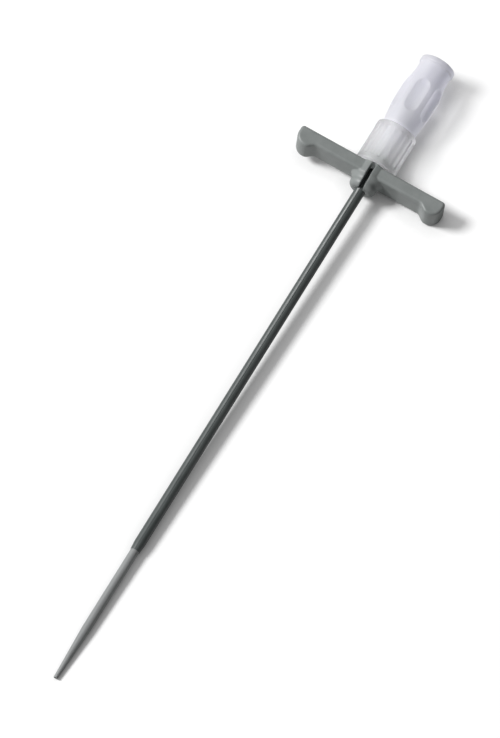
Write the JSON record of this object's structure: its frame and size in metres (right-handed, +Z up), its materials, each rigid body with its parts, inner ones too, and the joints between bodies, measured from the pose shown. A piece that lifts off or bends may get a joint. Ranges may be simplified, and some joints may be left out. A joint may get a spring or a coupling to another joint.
{
  "type": "peel-away vascular sheath introducer",
  "caption": "Slim peel-away introducer sheath on a T handle with break slots, with a tapered dilator locked in by a clear turning collar, lying on its side.",
  "frame": {"origin": "middle of the laid-down device's box, on the surface that it lies on", "axes": "+X from the dilator's tip to the hub, +Y towards the raised wing, +Z up from the table"},
  "size_m": [0.2214, 0.0488, 0.0133],
  "materials": {
    "handle_grey": "satin moulded",
    "sheath_dark_grey": "satin extruded",
    "dilator_grey": "satin extruded",
    "hub_frosted": "frosted translucent",
    "collar_clear": "clear moulded"
  },
  "bodies": {
    "sheath": {"sheath_handle": "handle_grey", "sheath_tube": "sheath_dark_grey"},
    "dilator": {"dilator_tube": "dilator_grey", "dilator_hub": "hub_frosted"},
    "collar": {"lock_collar": "collar_clear"}
  },
  "joints": [
    {"name": "dilator_slide", "type": "slide", "parent": "sheath", "child": "dilator", "axis": [0.9995, 0, 0.0307], "range_m": [0, 0.19]},
    {"name": "collar_turn", "type": "hinge", "parent": "dilator", "child": "collar", "pos_m": [0.07884, 0, 0.00663], "axis": [0.9995, 0, 0.0307], "range_deg": [0, 180]}
  ]
}
